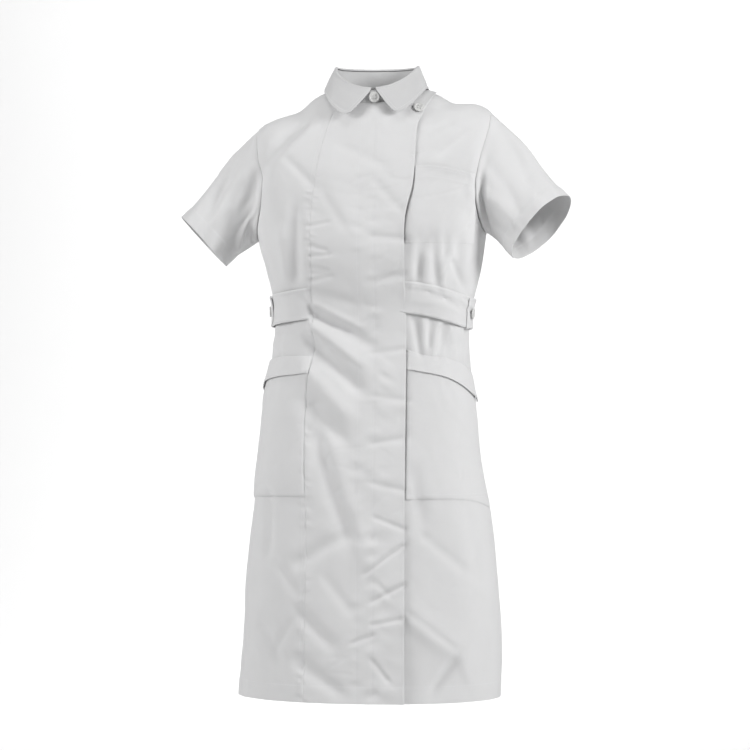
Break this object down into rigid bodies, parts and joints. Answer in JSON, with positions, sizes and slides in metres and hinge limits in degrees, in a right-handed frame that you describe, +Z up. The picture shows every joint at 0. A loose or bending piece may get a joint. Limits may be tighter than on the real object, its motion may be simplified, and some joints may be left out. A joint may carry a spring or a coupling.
{
  "type": "nurse uniform dress",
  "caption": "Hollow short-sleeved uniform dress in white cloth, filled out as when worn, with rounded collar, side closure, half belts and patch pockets.",
  "frame": {"origin": "middle of the base of the neck, level with the top of the shoulder seams", "axes": "+Z up along the body, the wearer faces -Y, +X is the wearer's left"},
  "size_m": [0.6495, 0.3089, 1.0432],
  "materials": {
    "body_cloth": "matte plain weave, white",
    "collar_cloth": "matte plain weave, white, stiffened",
    "trim_cloth": "matte plain weave, white, topstitched",
    "button_white": "half gloss, white"
  },
  "bodies": {
    "root": {"front_right_centre": "body_cloth", "front_right_side": "body_cloth", "front_left": "body_cloth", "back": "body_cloth", "sleeve_right": "body_cloth", "sleeve_left": "body_cloth", "collar_stand": "collar_cloth", "collar_fall": "collar_cloth", "chest_pocket": "trim_cloth", "hip_pocket_right": "trim_cloth", "hip_pocket_left": "trim_cloth", "pocket_band_right": "trim_cloth", "pocket_band_left": "trim_cloth", "belt_tab_right": "trim_cloth", "belt_tab_left": "trim_cloth", "belt_back": "trim_cloth", "button_collar": "button_white", "button_corner": "button_white", "button_belt_right": "button_white", "button_belt_left": "button_white"}
  },
  "joints": []
}
